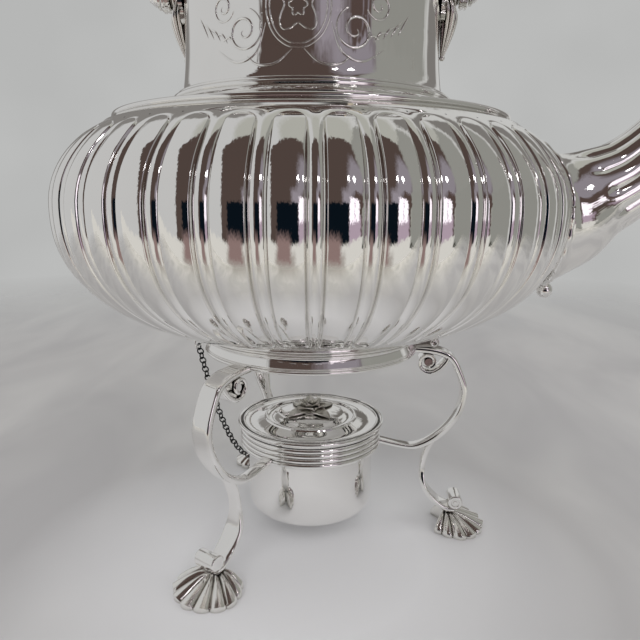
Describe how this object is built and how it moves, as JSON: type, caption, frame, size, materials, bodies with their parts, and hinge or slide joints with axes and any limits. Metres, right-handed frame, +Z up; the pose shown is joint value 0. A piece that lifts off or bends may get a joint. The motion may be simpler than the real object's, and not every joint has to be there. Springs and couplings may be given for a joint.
{
  "type": "spirit kettle on stand",
  "caption": "Lobed spirit kettle with a hinged lid, swing handle and fluted spout, tilting on a scroll-legged stand with shell feet over a lidded spirit burner.",
  "frame": {"origin": "on the table, under the kettle's axis, midway between the feet", "axes": "+X towards the spout, +Y towards the lid's hinge, +Z up"},
  "size_m": [0.2854, 0.2, 0.3446],
  "materials": {
    "polished_silver": "polished silver",
    "dark_wood": "ebonised wood, satin",
    "ivory_coloured": "ivory-coloured insulator, polished",
    "dark_chain": "dark tarnished wire",
    "wick_cotton": "plain cotton"
  },
  "bodies": {
    "stand": {"stand_ring": "polished_silver", "stand_hinge_lug": "polished_silver", "stand_latch_lug": "polished_silver", "leg_spout": "polished_silver", "leg_front": "polished_silver", "leg_rear": "polished_silver", "branch_spout": "polished_silver", "branch_front": "polished_silver", "branch_rear": "polished_silver", "foot_spout": "polished_silver", "foot_front": "polished_silver", "foot_rear": "polished_silver", "hinge_pin": "polished_silver", "burner_ring": "polished_silver", "lock_pin_ring": "polished_silver", "lock_chain": "dark_chain", "chain_anchor": "dark_chain"},
    "kettle": {"kettle_body": "polished_silver", "kettle_base": "polished_silver", "kettle_shoulder": "polished_silver", "kettle_neck": "polished_silver", "kettle_foot_rim": "polished_silver", "kettle_hinge_lug": "polished_silver", "kettle_latch_lug": "polished_silver", "handle_bracket_spout": "polished_silver", "handle_bracket_back": "polished_silver", "handle_pivot_spout": "polished_silver", "handle_pivot_back": "polished_silver", "neck_rim": "polished_silver", "spout": "polished_silver", "spout_collar": "polished_silver", "spout_drop": "polished_silver", "neck_hinge_leaf": "polished_silver", "lid_hinge_pin": "polished_silver"},
    "lid": {"lid_dome": "polished_silver", "lid_bezel": "polished_silver", "lid_hinge_leaf": "polished_silver", "finial_base": "polished_silver", "finial_insulator": "ivory_coloured", "finial_knob": "dark_wood", "finial_nut": "polished_silver"},
    "handle": {"handle_arm_spout": "polished_silver", "handle_arm_back": "polished_silver", "handle_ferrule_spout": "ivory_coloured", "handle_ferrule_back": "ivory_coloured", "handle_grip": "dark_wood"},
    "burner": {"burner_cup": "polished_silver", "burner_plate": "polished_silver", "wick_tube": "polished_silver", "wick": "wick_cotton"},
    "burner_lid": {"burner_lid": "polished_silver", "burner_lid_skirt": "polished_silver", "burner_lid_rose": "polished_silver"},
    "lock_pin": {"lock_pin": "polished_silver"}
  },
  "joints": [
    {"name": "kettle_tilt", "type": "hinge", "parent": "stand", "child": "kettle", "pos_m": [0.0523, 0, 0.0853], "axis": [0, 1, 0], "range_deg": [0, 50]},
    {"name": "lid_hinge", "type": "hinge", "parent": "kettle", "child": "lid", "pos_m": [0, 0.0531, 0.2348], "axis": [-1, 0, 0], "range_deg": [0, 95]},
    {"name": "handle_swing", "type": "hinge", "parent": "kettle", "child": "handle", "pos_m": [0, 0, 0.2206], "axis": [1, 0, 0], "range_deg": [-80, 80]},
    {"name": "burner_lift", "type": "slide", "parent": "stand", "child": "burner", "axis": [0, 0, 1], "range_m": [0, 0.014]},
    {"name": "burner_lid_lift", "type": "slide", "parent": "burner", "child": "burner_lid", "axis": [0, 0, 1], "range_m": [0, 0.012]},
    {"name": "lock_pin_slide", "type": "slide", "parent": "stand", "child": "lock_pin", "axis": [0, -1, 0], "range_m": [0, 0.0055]}
  ]
}
